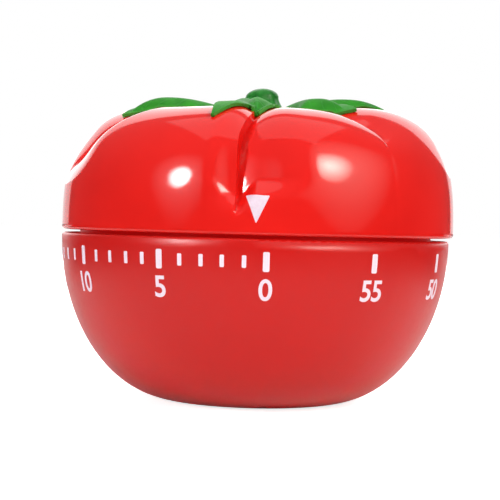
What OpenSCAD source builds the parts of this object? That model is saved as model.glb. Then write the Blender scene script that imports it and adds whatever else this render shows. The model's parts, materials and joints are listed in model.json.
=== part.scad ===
// Kitchen timer shaped like a tomato. The upper shell is the dial: it turns on the main arbor of a
// spring-driven movement that hangs in the lower shell, above a cup-shaped bell.
// Millimetres. Origin in the middle of the foot, +Z up, the pointer faces -Y.

/* [Shells] */
// Widest diameter, where the two shells meet
timer_d = 65; // [64:0.5:70]
// Height of the lower shell's rim
rim_h = 27.5; // [27:0.25:31]
// Diameter of the flat foot
foot_d = 26; // [24:0.5:30]
// Wall of both shells
shell_wall = 2; // [1.6:0.1:2.2]
// Thickness of the lower shell's floor
floor_t = 2; // [1.5:0.1:2.4]
// Gap that shows between the two shells
split_gap = 0.5; // [0.3:0.05:0.8]
// Rounding of both rims
rim_round = 0.5; // [0.3:0.05:0.7]
// Width of the ring that the foot stands on
foot_ring = 1.8; // [1.2:0.1:3]
// Depth of the hollow inside that ring
foot_hollow = 0.5; // [0.3:0.1:0.8]
// Sound slots through the floor
slots = 8; // [4:1:10]
// Width of a sound slot
slot_w = 1.5; // [1:0.1:2]
// Length of a sound slot
slot_l = 5; // [3:0.5:6]

/* [Tomato lobes] */
// Height of the lobe tops above the upper shell's rim
dome_h = 20.6; // [19:0.2:23]
// Distance of the lobe tops from the axis
crest_r = 15.5; // [14.5:0.25:17]
// Depth of the hollow in the middle of the top
dip = 4.6; // [3.5:0.1:5]
// Fullness of the side, 2 is an ellipse
fullness = 2.9; // [2.4:0.05:3]
// Depth of the creases between the lobes
crease_depth = 3.3; // [1:0.1:3.6]
// Form of a crease's left flank, 1 is a gentle slope and less is a steep one
crease_form = 0.42; // [0.35:0.01:1]

/* [Leaves] */
// Width of a leaf
leaf_w = 6.2; // [4:0.2:7]
// Thickness of a leaf at its rib
leaf_t = 0.8; // [0.7:0.05:1.2]
// Thickness of a leaf at its edges
leaf_edge_t = 0.5; // [0.4:0.05:0.65]
// Clearance between a leaf and the lobes under it
leaf_gap = 0.15; // [0.1:0.05:0.4]
// Diameter of the button that the leaves grow from
button_d = 10; // [9:0.5:12]
// Height of the button
button_h = 4.3; // [3.8:0.1:4.6]
// Rounding of the button's edge
button_round = 0.5; // [0.3:0.1:0.8]
// Diameter of the calyx peg
peg_d = 4.6; // [3.5:0.1:5]
// Diameter of the stem at its shoulder
stem_d = 5.2; // [4:0.1:5.8]
// Diameter of the stem's flared foot
stem_foot_d = 9; // [7:0.1:9]
// Height of the stem above the button
stem_l = 4.2; // [3:0.1:6]
// Lean of the stem to the right, degrees
stem_lean = 7; // [0:1:12]

/* [Movement plates] */
// Diameter of both plates
plate_d = 45; // [44.5:0.1:45.4]
// Thickness of both plates
plate_t = 0.8; // [0.6:0.1:0.9]
// Space between the plates
plate_space = 10.4; // [10.3:0.05:10.6]
// Diameter of a pillar
pillar_d = 3.6; // [3:0.1:3.8]
// Distance of the pillars from the axis
pillar_r = 20.3; // [20.1:0.1:20.5]
// Diameter of the wheel arbors
shaft_d = 1; // [0.9:0.05:1.1]
// Diameter of their pivots
pivot_d = 0.6; // [0.5:0.05:0.7]
// End play of an arbor, each way
end_play = 0.15; // [0.1:0.05:0.2]

/* [Main arbor and spring] */
// Diameter of the main arbor
arbor_d = 4; // [3.6:0.1:4.2]
// Length of the arbor above the deck
arbor_above = 13.6; // [11:0.1:13.8]
// Depth of the flat on the arbor's top end
arbor_flat = 0.6; // [0.4:0.05:0.8]
// Strip thickness of the mainspring
spring_t = 0.3; // [0.2:0.05:0.4]
// Strip width of the mainspring
spring_w = 4.2; // [3.5:0.1:4.3]
// Turns of the mainspring
spring_turns = 7; // [5:1:8]
// Outer radius of the coiled mainspring
spring_r = 10.3; // [9:0.1:10.5]
// Radius of the release cam
cam_r = 6; // [5:0.1:6.2]
// Depth of the notch in the release cam
cam_notch = 1.2; // [0.8:0.1:1.6]

/* [Gear train] */
// Teeth of the main wheel
main_teeth = 60; // [60:1:60]
// Teeth of the second and third wheels
wheel_teeth = 64; // [64:1:64]
// Leaves of every pinion
leaves = 8; // [8:1:8]
// Module of the main wheel and its pinion
main_module = 0.35; // [0.34:0.005:0.355]
// Module of the second wheel and its pinion
second_module = 0.26; // [0.255:0.005:0.265]
// Module of the third wheel and its pinion
third_module = 0.22; // [0.215:0.005:0.225]
// Thickness of the main wheel
main_t = 0.9; // [0.7:0.05:1]
// Thickness of the other wheels
wheel_t = 0.6; // [0.4:0.05:0.7]
// Teeth of the escape wheel
escape_teeth = 15; // [15:1:15]
// Radius of the escape wheel
escape_r = 5; // [4.8:0.1:5.1]
// Diameter of a pallet pin
pallet_pin_d = 0.5; // [0.4:0.05:0.5]
// Escape teeth between the two pallet pins
pallet_span = 3.5; // [3.5:1:3.5]
// Half length of the balance bar
balance_l = 4; // [3:0.1:4.2]

/* [Bell and hammer] */
// Diameter of the bell
bell_d = 39; // [38:0.25:40]
// Free height under the head of the bell's screw
bell_gap = 0.4; // [0.3:0.05:0.6]
// Wall of the bell
bell_t = 0.7; // [0.5:0.05:0.9]
// Rounding between the bell's crown and side
bell_round = 7; // [4:0.5:8]
// Diameter of the post that the bell hangs from
bell_post_d = 4; // [3.6:0.1:4.4]
// Diameter of the bell screw's shank
bell_screw_d = 2.2; // [1.8:0.1:2.4]
// Diameter of the bell screw's head
bell_head_d = 5; // [4:0.1:6]
// Length of the bell screw's thread in the post
bell_thread = 3; // [2:0.1:3.5]
// Points of the hammer star
star_points = 8; // [8:1:8]
// Radius of the hammer star
star_r = 3.2; // [3:0.1:3.3]
// Swing of the hammer, degrees
hammer_swing = 7; // [5:0.5:8]
// Length of the hammer's arm
hammer_arm = 11.8; // [11:0.1:12.5]
// Diameter of the hammer head
hammer_head_d = 3.2; // [2.5:0.1:3.4]
// Length of the hammer head below its arm
hammer_head_l = 3; // [2:0.1:3.4]

/* [Deck and screws] */
// Thickness of the deck
deck_t = 1.6; // [1.2:0.1:1.8]
// Depth of the deck's top face below the lower rim
deck_drop = 1.6; // [1.4:0.1:2]
// Height of the collar above the deck
collar_h = 3.9; // [3:0.1:4.2]
// Wall of the collar
collar_wall = 1.2; // [0.8:0.1:1.4]
// Gap between the collar and the upper shell
collar_gap = 1; // [0.6:0.1:1.2]
// Height of the pads that the movement hangs from
pad_h = 1; // [0.6:0.1:1]
// Diameter of a screw boss
boss_d = 5; // [4.6:0.1:5.2]
// Diameter of a deck screw's shank
deck_screw_d = 2.2; // [1.8:0.1:2.4]
// Diameter of a deck screw's head
deck_head_d = 4.2; // [3.6:0.1:4.4]
// Length of a deck screw's thread in its boss
deck_thread = 7.4; // [5:0.2:8]
// Diameter of a movement screw's shank
plate_screw_d = 1.6; // [1.2:0.1:1.8]
// Diameter of a movement screw's head
plate_head_d = 3.6; // [3:0.1:4]
// Length of a movement screw's thread in its pillar
plate_thread = 3; // [2:0.1:4]
// Height of all screw heads
head_h = 1.2; // [0.8:0.1:1.3]

/* [Fits] */
// Radial clearance of a shaft that turns in a hole
run_fit = 0.05; // [0.02:0.01:0.08]
// Radial clearance of pieces that are fixed together
seat_fit = 0.03; // [0.01:0.01:0.05]
// Free space between pieces that pass each other
pass_gap = 0.3; // [0.2:0.05:0.35]

/* [Hidden] */
$fn = 96;

front = -90;                // direction of the pointer
timer_r = timer_d / 2;
foot_r = foot_d / 2;
upper_rim = rim_h + split_gap;

// heights, worked down from the lower rim
deck_top = rim_h - deck_drop;
deck_z = deck_top - deck_t;
top_plate_z = deck_z - pad_h - plate_t;
train_z = top_plate_z - plate_space;    // top face of the bottom plate
bottom_plate_z = train_z - plate_t;
hammer_z = bottom_plate_z - pass_gap;   // top face of the hammer's arm
hammer_t = 0.6;
bell_top = hammer_z - hammer_t - pass_gap - 0.1;
bell_z = floor_t + bell_gap + head_h;
bell_h = bell_top - bell_z;
arbor_top = deck_top + arbor_above;

// heights of the wheels above the bottom plate
main_z = train_z + 0.6;
ratchet_z = main_z + main_t + pass_gap / 2;
ratchet_t = 0.7;
third_z = main_z + main_t + pass_gap;
second_z = third_z + wheel_t + 0.5;
cam_z = second_z + wheel_t + 0.5;
cam_t = 0.8;
star_z = cam_z + 0.1;
star_t = cam_t - 0.15;
spring_z = cam_z + cam_t + 0.6;
escape_z = star_z + cam_t + 0.9;
balance_z = escape_z + 2;
balance_t = 1;

// arbors of the train
third_r = third_module * wheel_teeth / 2;
dir_12 = 100;               // from the main arbor to the second
dir_23 = 197;               // from the second to the third
dir_34 = 226.5;             // from the third to the escape arbor
dir_45 = 270;               // from the escape arbor to the pallet arbor
dir_3h = 88;                // from the third arbor to the hammer arbor
second_at = polar(mesh_distance(main_module, main_teeth), dir_12);
third_at = second_at + polar(mesh_distance(second_module, wheel_teeth), dir_23);
escape_at = third_at + polar(mesh_distance(third_module, wheel_teeth), dir_34);

// the pallet pins stand just outside the escape wheel at mid swing, square to their arms
pallet_angle = pallet_span * 180 / escape_teeth;
pallet_pin_r = escape_r + pallet_pin_d / 2 + 0.06;
pallet_at = escape_at + polar(pallet_pin_r / cos(pallet_angle), dir_45);

// the hammer's tail stands just outside the star, square to its arm
tail_pin_d = 0.7;
tail_pin_r = star_r + tail_pin_d / 2 + 0.08;
hammer_reach = third_r + third_module + shaft_d / 2 + 0.84;
hammer_at = third_at + polar(hammer_reach, dir_3h);
tail_at = third_at + polar(tail_pin_r, dir_3h + acos(tail_pin_r / hammer_reach));
tail_step = hammer_at + 0.55 * (tail_at - hammer_at);
tail_t = 0.5;
// at the end of its swing the head stands this far from the axis, just short of the bell
strike_r = bell_inside(hammer_z - hammer_t - hammer_head_l) - hammer_head_d / 2 - 0.06;
hammer_r = norm(hammer_at);
strike_dir = atan2(hammer_at[1], hammer_at[0])
    - acos((pow(strike_r, 2) - pow(hammer_r, 2) - pow(hammer_arm, 2)) / (2 * hammer_r * hammer_arm));
head_at = hammer_at + polar(hammer_arm, strike_dir - hammer_swing);

pillar_dirs = [72, 212, 322];
pillar_bore = plate_screw_d / 2 + seat_fit;

nose_dir = 79;              // where the release spring rides on the cam
release_post = [3.4, 14.4];
spring_post = [-16.6, 12.9];

// deck and bosses
collar_r = timer_r - shell_wall - collar_gap;
boss_r = collar_r - collar_wall - deck_head_d / 2 - 0.4;
boss_dirs = [30, 150, 270];
deck_r = cavity_r(deck_z) - 0.2;

// middle of the upper shell
hole_r = peg_d / 2 + 1.9;
seat_z = upper_rim + dome_h - dip;
button_z = seat_z + button_h;           // flat top of the button
crest_z = upper_rim + dome_h;
hub_flange_r = 7;
hub_flange_t = 1.6;
hub_r = 5;
hub_z = deck_top + 3;
crest_s = 0.7;              // share of the meridian from the rim to the lobe tops
seat_r = button_d / 2 + 0.3;    // flat seat of the button
// creases: direction from the pointer, share of the meridian where one begins, share over which it
// deepens, its depth as a share of crease_depth, degrees that it swings round towards the middle,
// share where the swing starts, width of its right flank as a share of the lobe, and form of its
// left flank as a share of crease_form
creases = [
    [-5.4, 0.04, 0.24, 1.2, 7, 0.5, 0.25, 0.57], [42, 0.23, 0.4, 1.15, 0, 0.4, 0.26, 0.62],
    [124, 0.2, 0.3, 1, 4, 0.5, 0.3, 1], [205, 0.2, 0.3, 1, 4, 0.5, 0.3, 1],
    [283, 0.1, 0.28, 1.25, 13, 0.25, 0.3, 1]
];
swing_share = 0.35;             // share of the meridian over which a crease swings
crease_fade = [0.62, 0.3];      // share of the meridian where the creases fade out, and over what share
rises = [-0.5, 0.6, 0, 0.5, -0.5];    // of the lobe that follows each crease
rise_form = 0.6;                // less spreads a lobe's rise nearer to its creases
rise_fade = 0.28;               // share of the meridian over which it ends beyond the lobe top
lobes = len(creases);

// leaves: direction from the pointer, reach, share of the full width, height of the arch above the
// plain lobe tops, share of the length where it is, height of the tip, degrees that the leaf bends
// sideways, and how far its sides fold down
leaf_shapes = [
    [-80, 23.4, 1.03, 1.8, 0.55, -2.2, 6, 2], [-9, 25.6, 0.68, 1.3, 0.26, -2, -6, 1.4],
    [0, 21.2, 0.68, 1.2, 0.38, -2.4, -2, 1.2], [53, 19.6, 0.94, 1.9, 0.5, -1.9, 0, 2.1],
    [98, 21.6, 0.8, 2.6, 0.63, 1.1, 0, 1.6], [160, 21, 0.94, 1.7, 0.5, -0.7, 4, 1.4],
    [215, 22, 0.94, 1.4, 0.5, -1, -4, 1.4]
];
leaf_widest = 0.42;             // share of its length where a leaf is widest
leaf_neck = 0.36;               // width at the button as a share of the width there
leaf_end = 0.035;               // the same at the tip, before rounding

wheel_tooth = [1.25, 0.9, 0.46, 0.42, 0.14];    // root, tip, and share of the pitch at root, pitch, tip
pinion_tooth = [1.35, 0.6, 0.34, 0.34, 0.12];

function polar(r, a) = [r * cos(a), r * sin(a)];
function mesh_distance(m, teeth) = m * (teeth + leaves) / 2;

// Inside radius of the lower shell at height z
function cavity_r(z) =
    let(d = (rim_h - z) / (rim_h - floor_t))
    foot_r + (timer_r - shell_wall - foot_r) * sqrt(1 - d * d);

// Inside radius of the bell at height z
function bell_inside(z) =
    let(round = bell_round - bell_t, up = min(round, z - bell_z - bell_t))
    bell_d / 2 - bell_round + sqrt(round * round - pow(round - up, 2));

// One gear outline: a tooth is centred on angle 0
function tooth_outline(teeth, m, form) =
    let(r = m * teeth / 2, pitch = 360 / teeth,
        corners = [[r - form[0] * m, -form[2]], [r, -form[3]], [r + form[1] * m, -form[4]],
                   [r + form[1] * m, form[4]], [r, form[3]], [r - form[0] * m, form[2]]])
    [for (i = [0:teeth - 1]) for (c = corners) polar(c[0], pitch * (i + c[1] / 2))];

// Pointed teeth for the escape wheel, the ratchet and the star; lean shifts the points round
function pointed_outline(teeth, root, tip, root_share, tip_share, lean) =
    let(pitch = 360 / teeth)
    [for (i = [0:teeth - 1])
        for (c = [[root, -root_share / 2], [tip, lean - tip_share / 2],
                  [tip, lean + tip_share / 2], [root, root_share / 2]])
            polar(c[0], pitch * (i + c[1]))];

// ---- shared shapes ----

// Flat bar from p to q with round ends
module bar(p, q, w) {
    d = q - p;
    translate(p) circle(d = w);
    translate(q) circle(d = w);
    translate(p) rotate(atan2(d[1], d[0])) translate([0, -w / 2]) square([norm(d), w]);
}

module rod(r, z0, z1) {
    translate([0, 0, z0]) cylinder(r = r, h = z1 - z0);
}

module ring(r_out, r_in, z0, z1) {
    translate([0, 0, z0]) linear_extrude(z1 - z0) difference() {
        circle(r_out);
        circle(r_in);
    }
}

// Screw with its head above z, its shank below and a slot across
module screw(d, head, z, length) {
    difference() {
        union() {
            rod(d / 2, z - length, z);
            rod(head / 2, z, z + head_h);
        }
        translate([-head / 2, -0.25, z + head_h / 2]) cube([head, 0.5, head_h]);
    }
}

// Shaft of a wheel between the plates, with its two pivots
module arbor_between() {
    rod(shaft_d / 2, train_z + end_play, top_plate_z - end_play);
    rod(pivot_d / 2, bottom_plate_z, top_plate_z + plate_t);
}

module pinion(m, z0, z1, turn) {
    translate([0, 0, z0]) rotate(turn) linear_extrude(z1 - z0)
        polygon(tooth_outline(leaves, m, pinion_tooth));
}

// Toothed wheel with round windows
module toothed_wheel(teeth, m, t, bore, turn) {
    r = m * teeth / 2;
    windows = 5;
    rotate(turn) linear_extrude(t) difference() {
        polygon(tooth_outline(teeth, m, wheel_tooth));
        circle(bore);
        for (k = [0:windows - 1]) rotate((k + 0.5) * 360 / windows)
            translate([r * 0.58, 0]) circle(r * 0.24);
    }
}

// ---- lower shell and what is fixed in it ----

// Half section of the lower shell's outside, or of its cavity, open at the rim
module bowl_section(inset, bottom) {
    w = timer_r - inset - foot_r;
    translate([foot_r, rim_h]) intersection() {
        scale([w, rim_h - bottom]) circle(1);
        translate([0, bottom - rim_h]) square([w, rim_h - bottom]);
    }
    translate([0, bottom]) square([foot_r, rim_h - bottom]);
}

// What a round edge takes off a square corner whose tip is at the origin
module corner_cut(r) {
    difference() {
        translate([-r, -r]) square([r + 1, r + 1]);
        translate([-r, -r]) circle(r);
        translate([-r - 1, -r - 1]) square([1, r + 2]);
    }
}

module lower_shell() color("#d8211d") {
    difference() {
        rotate_extrude($fn = 180) difference() {
            bowl_section(0, 0);
            translate([timer_r, rim_h]) corner_cut(rim_round);
            square([foot_r - foot_ring, foot_hollow]);
        }
        difference() {
            union() {
                rotate_extrude($fn = 180) bowl_section(shell_wall, floor_t);
                rod(timer_r - shell_wall, rim_h - 0.01, rim_h + 1);
            }
            for (a = boss_dirs) rotate(a) {
                translate([boss_r, 0, 0]) rod(boss_d / 2, floor_t, deck_z);
                translate([boss_r, -boss_d / 4, floor_t])
                    cube([timer_r - boss_r, boss_d / 2, deck_z - floor_t]);
            }
        }
        for (a = boss_dirs) rotate(a) translate([boss_r, 0, 0])
            rod(deck_screw_d / 2 + seat_fit, deck_z - deck_thread - 1, rim_h);
        for (k = [0:slots - 1]) rotate((k + 0.5) * 360 / slots)
            translate([0, 0, -1]) linear_extrude(floor_t + 2)
                bar([4.5, 0], [4.5 + slot_l - slot_w, 0], slot_w);
    }
}

// Deck that carries the movement below it; its collar shows through the gap between the shells
module movement_deck() color("#a80f0c") difference() {
    union() {
        rod(deck_r, deck_z, deck_top);
        ring(collar_r, collar_r - collar_wall, deck_top - deck_t / 2, deck_top + collar_h);
        for (a = pillar_dirs) rotate(a) translate([pillar_r, 0, 0])
            rod(pillar_d / 2 + 0.6, deck_z - pad_h, deck_top);
    }
    rod(arbor_d / 2 + 1, deck_z - 1, deck_top + 1);
    for (a = pillar_dirs) rotate(a) translate([pillar_r, 0, 0])
        rod(pillar_bore, deck_z - pad_h - 1, deck_top + 1);
    for (a = boss_dirs) rotate(a) translate([boss_r, 0, 0])
        rod(deck_screw_d / 2 + seat_fit, deck_z - 1, deck_top + 1);
}

module deck_screws() color("silver")
    for (a = boss_dirs) rotate(a) translate([boss_r, 0, 0])
        screw(deck_screw_d, deck_head_d, deck_top, deck_t + deck_thread);

module movement_screws() color("silver")
    for (a = pillar_dirs) rotate(a) translate([pillar_r, 0, 0])
        screw(plate_screw_d, plate_head_d, deck_top, deck_t + pad_h + plate_t + plate_thread);

// ---- movement frame ----

module plate_outline() {
    difference() {
        circle(plate_d / 2);
        for (p = [second_at, third_at, escape_at, pallet_at])
            translate(p) circle(pivot_d / 2 + run_fit);
    }
}

module bottom_plate() color("#c9a24a")
    translate([0, 0, bottom_plate_z]) linear_extrude(plate_t) difference() {
        plate_outline();
        circle(arbor_d / 2 - 0.8 + run_fit);
        translate(hammer_at) circle(shaft_d / 2 + run_fit);
        for (a = pillar_dirs) rotate(a) translate([pillar_r, 0]) circle(pillar_d / 4 + seat_fit);
    }

module top_plate() color("#c9a24a")
    translate([0, 0, top_plate_z]) linear_extrude(plate_t) difference() {
        plate_outline();
        circle(arbor_d / 2 + run_fit);
        translate(hammer_at) circle(pivot_d / 2 + run_fit);
        for (a = pillar_dirs) rotate(a) translate([pillar_r, 0]) circle(pillar_bore);
    }

// Shouldered pillars, riveted under the bottom plate and tapped for the movement screws
module plate_pillars() color("silver")
    for (a = pillar_dirs) rotate(a) translate([pillar_r, 0, 0]) difference() {
        union() {
            rod(pillar_d / 2, train_z, top_plate_z);
            rod(pillar_d / 4, bottom_plate_z - 0.4, train_z + 0.1);
            rod(pillar_d / 2 - 0.3, bottom_plate_z - 0.4, bottom_plate_z);
        }
        rod(pillar_bore, top_plate_z - plate_thread - 1, top_plate_z + 1);
    }

// ---- bell ----

// Half section of a cup with a round edge between crown and side
module cup_section(r, h, round) intersection() {
    square([r, h]);
    union() {
        square([r - round, h]);
        translate([0, round]) square([r, h]);
        translate([r - round, round]) circle(round);
    }
}

module bell() color("#d9d9de") rotate_extrude($fn = 120)
    translate([0, bell_z]) difference() {
        cup_section(bell_d / 2, bell_h, bell_round);
        translate([0, bell_t]) cup_section(bell_d / 2 - bell_t, bell_h, bell_round - bell_t);
        square([bell_screw_d / 2 + seat_fit, bell_h]);
    }

module bell_post() color("silver") difference() {
    union() {
        rod(bell_post_d / 2, bell_z + bell_t, bottom_plate_z);
        rod(bell_post_d * 0.85, bottom_plate_z - plate_t, bottom_plate_z);
    }
    rod(bell_screw_d / 2 + seat_fit, bell_z, bell_z + bell_t + bell_thread + pass_gap);
}

module bell_screw() color("silver")
    translate([0, 0, bell_z]) mirror([0, 0, 1])
        screw(bell_screw_d, bell_head_d, 0, bell_t + bell_thread);

// ---- springs ----

// Spiral strip from an eye round the arbor out to a loop round one pillar
module mainspring() {
    eye_in = arbor_d / 2 + run_fit;
    loop_in = pillar_d / 2 + run_fit;
    wrap_t = spring_t + 0.1;
    eye_r = eye_in + wrap_t / 2;
    loop_r = loop_in + wrap_t / 2;
    last = pillar_dirs[2];
    leave = last - acos((spring_r - loop_r) / pillar_r);    // where the strip leaves the coil
    first = leave - 360 * spring_turns;
    steps = spring_turns * 30;
    loop_at = polar(pillar_r, last);
    function coil(i, side) = polar(eye_r + (spring_r - eye_r) * i / steps + side * spring_t / 2,
                                   first + (leave - first) * i / steps);
    function tail(side) = loop_at + polar(loop_r + side * spring_t / 2, leave);
    color("#5b6570") translate([0, 0, spring_z]) linear_extrude(spring_w) {
        difference() {
            union() {
                polygon(concat([for (i = [0:steps]) coil(i, 1)], [tail(1), tail(-1)],
                               [for (i = [steps:-1:0]) coil(i, -1)]));
                circle(eye_in + wrap_t);
                translate(loop_at) circle(loop_in + wrap_t);
            }
            circle(eye_in);
            translate(loop_at) circle(loop_in);
        }
    }
}

// Leaf that rides on the cam and holds the hammer's tail off the star until the notch comes
module release_spring() color("#5b6570") {
    nose = polar(cam_r + 0.05 + 0.2, nose_dir);
    tail_mid = (hammer_at + tail_at) / 2;
    finger = tail_mid + [1.05, -0.45];
    translate([0, 0, cam_z]) linear_extrude(cam_t) difference() {
        union() {
            bar(release_post, nose, 0.4);
            bar(nose, finger, 0.4);
            translate(release_post) circle(1.3);
        }
        translate(release_post) circle(0.5);
    }
    translate(release_post) rod(0.5, cam_z, top_plate_z);
}

// Leaf that presses the hammer's tail towards the star, and so its head towards the bell
module hammer_spring() color("#5b6570") {
    tail_mid = (hammer_at + tail_at) / 2;
    translate([0, 0, star_z]) linear_extrude(cam_t - 0.1) {
        bar(spring_post, tail_mid + [-0.62, 0.32], 0.25);
        translate(spring_post) circle(0.8);
    }
    translate(spring_post) rod(0.5, star_z, top_plate_z);
}

// ---- what turns with the dial ----

module main_arbor() color("silver") {
    rod(arbor_d / 2 - 0.8, bottom_plate_z + 0.1, train_z + 0.1);
    difference() {
        rod(arbor_d / 2, train_z + 0.1, arbor_top);
        translate([arbor_d / 2 - arbor_flat, -arbor_d, hub_z - 0.5])
            cube([arbor_d, 2 * arbor_d, arbor_top]);
    }
}

module main_wheel() color("#c9a24a")
    translate([0, 0, main_z])
        toothed_wheel(main_teeth, main_module, main_t, arbor_d / 2 + seat_fit, dir_12);

ratchet_r = 4.2;
module ratchet_wheel() color("silver")
    translate([0, 0, ratchet_z]) linear_extrude(ratchet_t) difference() {
        polygon(pointed_outline(12, ratchet_r - 0.7, ratchet_r, 0.98, 0.04, 0.42));
        circle(arbor_d / 2 + seat_fit);
    }

// Click: its pin stands in the main wheel, its nose drops behind a ratchet tooth
click_at = polar(5.5, 12);
module click() color("silver") {
    translate([0, 0, ratchet_z]) linear_extrude(ratchet_t) {
        translate(click_at) circle(0.75);
        bar(click_at, polar(4.75, 34), 0.5);
    }
    translate(click_at) rod(0.4, main_z + main_t, ratchet_z + 0.1);
}

module click_spring() color("#5b6570") translate([0, 0, ratchet_z]) linear_extrude(0.5) {
    bar(polar(6.1, 70), polar(5.75, 50), 0.25);
    bar(polar(5.75, 50), polar(5.22, 36), 0.25);
    translate(polar(6, 71)) circle(0.45);
}

// Cam with the notch that lets the release spring drop at zero
module release_cam() color("#c9a24a") {
    notch_w = 22;
    notch_end = nose_dir - 8;
    translate([0, 0, cam_z]) linear_extrude(cam_t) difference() {
        circle(cam_r);
        circle(arbor_d / 2 + seat_fit);
        difference() {
            polygon([[0, 0], polar(cam_r * 1.2, notch_end - notch_w), polar(cam_r * 1.2, notch_end)]);
            circle(cam_r - cam_notch);
        }
    }
    ring(arbor_d / 2 + 0.8, arbor_d / 2 + seat_fit, ratchet_z + ratchet_t, cam_z);
}

// ---- gear train ----

module second_pinion() color("silver") translate(second_at) {
    arbor_between();
    pinion(main_module, main_z - 0.3, main_z + main_t + 0.2, dir_12 + 180 + 180 / leaves);
}

module second_wheel() color("#c9a24a") translate([second_at[0], second_at[1], second_z])
    toothed_wheel(wheel_teeth, second_module, wheel_t, shaft_d / 2 + seat_fit, dir_23);

module third_pinion() color("silver") translate(third_at) {
    arbor_between();
    pinion(second_module, second_z - 0.2, second_z + wheel_t + 0.2, dir_23 + 180 + 180 / leaves);
}

module third_wheel() color("#c9a24a") translate([third_at[0], third_at[1], third_z])
    toothed_wheel(wheel_teeth, third_module, wheel_t, shaft_d / 2 + seat_fit, dir_34);

module hammer_star() color("silver") translate([third_at[0], third_at[1], star_z])
    rotate(dir_3h + acos(tail_pin_r / hammer_reach) + 180 / star_points)
        linear_extrude(star_t) difference() {
            polygon(pointed_outline(star_points, star_r - 1.3, star_r, 0.98, 0.12, 0));
            circle(shaft_d / 2 + seat_fit);
        }

module escape_pinion() color("silver") translate(escape_at) {
    arbor_between();
    pinion(third_module, third_z - 0.2, third_z + wheel_t + 0.2, dir_34 + 180 + 180 / leaves);
}

module escape_wheel() color("#c9a24a") translate([escape_at[0], escape_at[1], escape_z])
    rotate(dir_45) linear_extrude(wheel_t) difference() {
        polygon(pointed_outline(escape_teeth, escape_r - 1.2, escape_r, 0.4, 0.08, 0));
        circle(shaft_d / 2 + seat_fit);
        for (k = [0:3]) rotate(45 + k * 90) translate([escape_r * 0.42, 0]) circle(escape_r * 0.17);
    }

// Anchor with two pallet pins that enter the escape wheel in turn
module pallet_anchor() color("silver") {
    translate(pallet_at) arbor_between();
    translate([0, 0, escape_z + wheel_t + 0.2]) linear_extrude(0.6)
        for (side = [-1, 1])
            bar(pallet_at, escape_at + polar(pallet_pin_r, dir_45 + side * pallet_angle), 1);
    for (side = [-1, 1])
        translate(escape_at + polar(pallet_pin_r, dir_45 + side * pallet_angle))
            rod(pallet_pin_d / 2, escape_z - 0.1, escape_z + wheel_t + 0.4);
}

module balance_bar() color("#c9a24a") {
    dir = atan2(pallet_at[1], pallet_at[0]);
    translate([pallet_at[0], pallet_at[1], balance_z]) rotate(dir) linear_extrude(balance_t) difference() {
        union() {
            bar([-balance_l, 0], [balance_l, 0], 1.1);
            circle(1.3);
            for (side = [-1, 1]) translate([side * balance_l, 0]) circle(1.2);
        }
        circle(shaft_d / 2 + seat_fit);
    }
}

// ---- hammer ----

module hammer_lever() color("silver") {
    translate(hammer_at) {
        rod(shaft_d / 2, hammer_z - hammer_t, top_plate_z - end_play);
        rod(pivot_d / 2, top_plate_z - 1, top_plate_z + plate_t);
    }
    translate([0, 0, hammer_z - hammer_t]) linear_extrude(hammer_t) difference() {
        union() {
            bar(hammer_at, head_at, 1.2);
            translate(hammer_at) circle(1.2);
            translate(head_at) circle(1.3);
        }
        translate(head_at) circle(0.6);
    }
    // the springs press on the short step, and the tail above it carries the pin that the star lifts
    translate([0, 0, star_z]) linear_extrude(cam_t + tail_t) {
        translate(hammer_at) circle(1.1);
        bar(hammer_at, tail_step, tail_pin_d);
    }
    translate([0, 0, star_z + cam_t]) linear_extrude(tail_t) bar(hammer_at, tail_at, tail_pin_d);
    translate(tail_at) rod(tail_pin_d / 2, star_z, star_z + cam_t + tail_t / 2);
}

module hammer_head() color("#c9a24a") translate(head_at) {
    rod(0.6 - seat_fit, hammer_z - hammer_t, hammer_z);
    rod(hammer_head_d / 2, hammer_z - hammer_t - hammer_head_l, hammer_z - hammer_t);
}

// ---- upper shell ----

function ease(x) = let(t = min(1, max(0, x))) t * t * (3 - 2 * t);

// Meridian of the upper shell without creases: [radius, height above its rim];
// s runs from 0 at the rim over the lobe top to 1 at the seat of the button
function meridian(s, inset) =
    s < crest_s
    ? let(a = 90 * s / crest_s, e = 2 / fullness)
        [crest_r + (timer_r - inset - crest_r) * pow(cos(a), e), (dome_h - inset) * pow(sin(a), e)]
    : let(u = (s - crest_s) / (1 - crest_s))
        [crest_r + (seat_r - crest_r) * u, dome_h - inset - dip * (1 - cos(180 * u)) / 2];

// Direction of crease k at the rim, and at s
function crease_at(k) = creases[k % lobes][0] + 360 * floor(k / lobes);
function swung(k, s) =
    let(c = creases[k % lobes]) crease_at(k) + c[4] * ease((s - c[5]) / swing_share);

// Depth of the crease pattern at s, a share t of the way from crease k to the next
function crease(s, k, t) =
    let(c = creases[(t < 0.5 ? k : k + 1) % lobes],
        flank = t < 0.5 ? (1 + cos(180 * min(1, t / c[6]))) / 2
            : 1 - pow(sin(180 * t), crease_form * c[7]),
        deep = ease((s - c[1]) / c[2]) * (1 - ease((s - crease_fade[0]) / crease_fade[1])))
    crease_depth * c[3] * deep * flank;

// Rise of lobe k there, where the plain dome is h high
function lift(s, k, t, h) =
    rises[k % lobes] * pow(sin(180 * t), rise_form) * h / dome_h
        * (1 - ease((s - crest_s) / rise_fade));

function slope(s) = 90 * min(1, s / crest_s);

function dome_point(s, k, t, inset) =
    let(p = meridian(s, inset), d = crease(s, k, t), r = p[0] - d * cos(slope(s)),
        dir = front + swung(k, s) * (1 - t) + swung(k + 1, s) * t)
    [r * cos(dir), r * sin(dir), upper_rim + p[1] + lift(s, k, t, p[1]) - d * sin(slope(s))];

// Share of the meridian at radius r
function share_at(r) =
    r > crest_r
    ? crest_s * acos(pow(min(1, (r - crest_r) / (timer_r - crest_r)), fullness / 2)) / 90
    : crest_s + (1 - crest_s) * min(1, (crest_r - r) / (crest_r - seat_r));

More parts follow.
